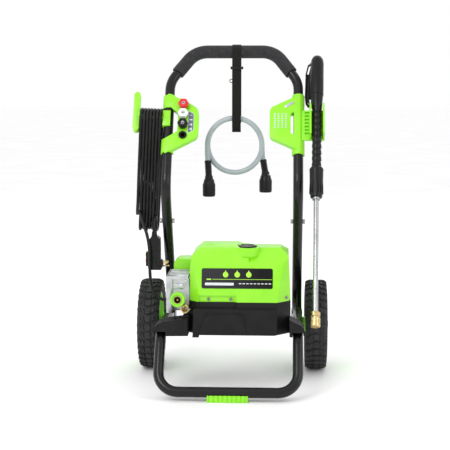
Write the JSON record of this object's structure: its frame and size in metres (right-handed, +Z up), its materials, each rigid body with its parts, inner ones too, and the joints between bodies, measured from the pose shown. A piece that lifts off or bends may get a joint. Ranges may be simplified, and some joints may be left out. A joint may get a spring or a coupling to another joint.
{
  "type": "pressure washer",
  "caption": "Upright electric pressure washer: bent tube frame on two wheels, motor and pump in a low housing, hanging hose loop, wound cord, nozzles, spray gun and lance.",
  "frame": {"origin": "on the ground, midway between the front of the foot pad and the back of the wheels, on the frame's centre line", "axes": "+Z up, the housing's labelled front and the spray gun face -Y, the gun hangs on the +X side and the wound cord on the -X side"},
  "size_m": [0.5065, 0.477, 0.8477],
  "materials": {
    "frame_paint": "gloss",
    "foam": "matte",
    "steel": "satin",
    "green_plastic": "gloss",
    "black_plastic": "matte",
    "tyre_rubber": "matte",
    "label": "satin",
    "clear_plastic": "satin",
    "core_iron": "matte",
    "shaft_steel": "satin",
    "pump_alloy": "satin",
    "brass": "polished",
    "cord_rubber": "satin",
    "hose_vinyl": "satin",
    "webbing": "matte",
    "red_plastic": "gloss",
    "white_plastic": "gloss",
    "yellow_plastic": "gloss"
  },
  "bodies": {
    "frame": {"lower_frame": "frame_paint", "handle_tube": "frame_paint", "foam_grip": "foam", "frame_bolts": "steel", "foot_pad": "green_plastic", "axle_brackets": "frame_paint", "axle": "steel", "axle_caps": "black_plastic", "base_tray": "black_plastic", "upper_cover": "green_plastic", "side_cover": "green_plastic", "label_plate": "label", "cover_screws": "steel", "detergent_tank": "clear_plastic", "motor_stator": "core_iron", "motor_bearings": "shaft_steel", "motor_end_plate": "pump_alloy", "pump_body": "pump_alloy", "pump_head": "pump_alloy", "pistons": "shaft_steel", "outlet_fitting": "brass", "inlet_fitting": "brass", "pressure_switch": "black_plastic", "switch_frame": "black_plastic", "power_cord": "cord_rubber", "cord_hank": "cord_rubber", "strain_relief": "cord_rubber", "plug_body": "black_plastic", "plug_prongs": "brass", "cord_hook": "green_plastic", "hose": "hose_vinyl", "hose_sleeves": "cord_rubber", "strap": "webbing", "nozzle_panel": "green_plastic", "nozzle_rings": "black_plastic", "gun_panel": "green_plastic"},
    "wheel_left": {"tyre_left": "tyre_rubber", "rim_left": "green_plastic"},
    "wheel_right": {"tyre_right": "tyre_rubber", "rim_right": "green_plastic"},
    "motor": {"motor_rotor": "shaft_steel", "motor_fan": "black_plastic", "wobble_plate": "shaft_steel"},
    "tank_cap": {"tank_cap": "black_plastic"},
    "outlet_collar": {"outlet_collar": "green_plastic"},
    "power_switch": {"power_switch": "red_plastic"},
    "test_button": {"test_button": "yellow_plastic"},
    "reset_button": {"reset_button": "red_plastic"},
    "hose_nut_left": {"hose_nut_left": "black_plastic"},
    "hose_nut_right": {"hose_nut_right": "black_plastic"},
    "nozzle_red": {"nozzle_red": "red_plastic"},
    "nozzle_white": {"nozzle_white": "white_plastic"},
    "nozzle_black": {"nozzle_black": "black_plastic"},
    "gun": {"gun_body": "black_plastic", "trigger_pin": "steel", "lance_grip": "black_plastic", "lance_tube": "steel", "coupler_body": "brass"},
    "gun_trigger": {"gun_trigger": "black_plastic"},
    "coupler_collar": {"coupler_collar": "brass"}
  },
  "joints": [
    {"name": "wheel_left_roll", "type": "hinge", "parent": "frame", "child": "wheel_left", "pos_m": [-0.216, 0.121, 0.117], "axis": [1, 0, 0], "continuous": true},
    {"name": "wheel_right_roll", "type": "hinge", "parent": "frame", "child": "wheel_right", "pos_m": [0.216, 0.121, 0.117], "axis": [1, 0, 0], "continuous": true},
    {"name": "motor_spin", "type": "hinge", "parent": "frame", "child": "motor", "pos_m": [0, -0.059, 0.238], "axis": [1, 0, 0], "continuous": true},
    {"name": "tank_cap_twist", "type": "hinge", "parent": "frame", "child": "tank_cap", "pos_m": [0.0425, -0.096, 0.352], "axis": [0, 0, 1], "range_deg": [0, 90]},
    {"name": "outlet_collar_turn", "type": "hinge", "parent": "frame", "child": "outlet_collar", "pos_m": [-0.125, -0.135, 0.2275], "axis": [0, 1, 0], "continuous": true},
    {"name": "power_switch_rock", "type": "hinge", "parent": "frame", "child": "power_switch", "pos_m": [0.042, 0.074, 0.264], "axis": [1, 0, 0], "range_deg": [0, 16]},
    {"name": "test_button_press", "type": "slide", "parent": "frame", "child": "test_button", "axis": [1, 0, 0], "range_m": [0, 0.0015], "stiffness_N_per_m": 800, "springref_m": -0.001},
    {"name": "reset_button_press", "type": "slide", "parent": "frame", "child": "reset_button", "axis": [1, 0, 0], "range_m": [0, 0.0015], "stiffness_N_per_m": 800, "springref_m": -0.001},
    {"name": "hose_nut_left_turn", "type": "hinge", "parent": "frame", "child": "hose_nut_left", "pos_m": [-0.068, 0.1785, 0.47], "axis": [0, 0, 1], "continuous": true},
    {"name": "hose_nut_right_turn", "type": "hinge", "parent": "frame", "child": "hose_nut_right", "pos_m": [0.082, 0.2015, 0.48], "axis": [0, 0, 1], "continuous": true},
    {"name": "nozzle_red_pull", "type": "slide", "parent": "frame", "child": "nozzle_red", "axis": [0, -0.866, 0.5], "range_m": [0, 0.022]},
    {"name": "nozzle_white_pull", "type": "slide", "parent": "frame", "child": "nozzle_white", "axis": [0, -0.866, 0.5], "range_m": [0, 0.022]},
    {"name": "nozzle_black_pull", "type": "slide", "parent": "frame", "child": "nozzle_black", "axis": [0, -0.866, 0.5], "range_m": [0, 0.022]},
    {"name": "gun_lift_out", "type": "slide", "parent": "frame", "child": "gun", "axis": [0, -0.866, 0.5], "range_m": [0, 0.06]},
    {"name": "trigger_squeeze", "type": "hinge", "parent": "gun", "child": "gun_trigger", "pos_m": [0.2059, 0.15653, 0.79195], "axis": [-0.7879, -0.5282, 0.3164], "range_deg": [0, 8], "stiffness_Nm_per_rad": 0.5, "springref_deg": -8.59},
    {"name": "coupler_collar_pull", "type": "slide", "parent": "gun", "child": "coupler_collar", "axis": [0.0126, 0.5, 0.866], "range_m": [0, 0.003], "stiffness_N_per_m": 1000, "springref_m": -0.003}
  ]
}
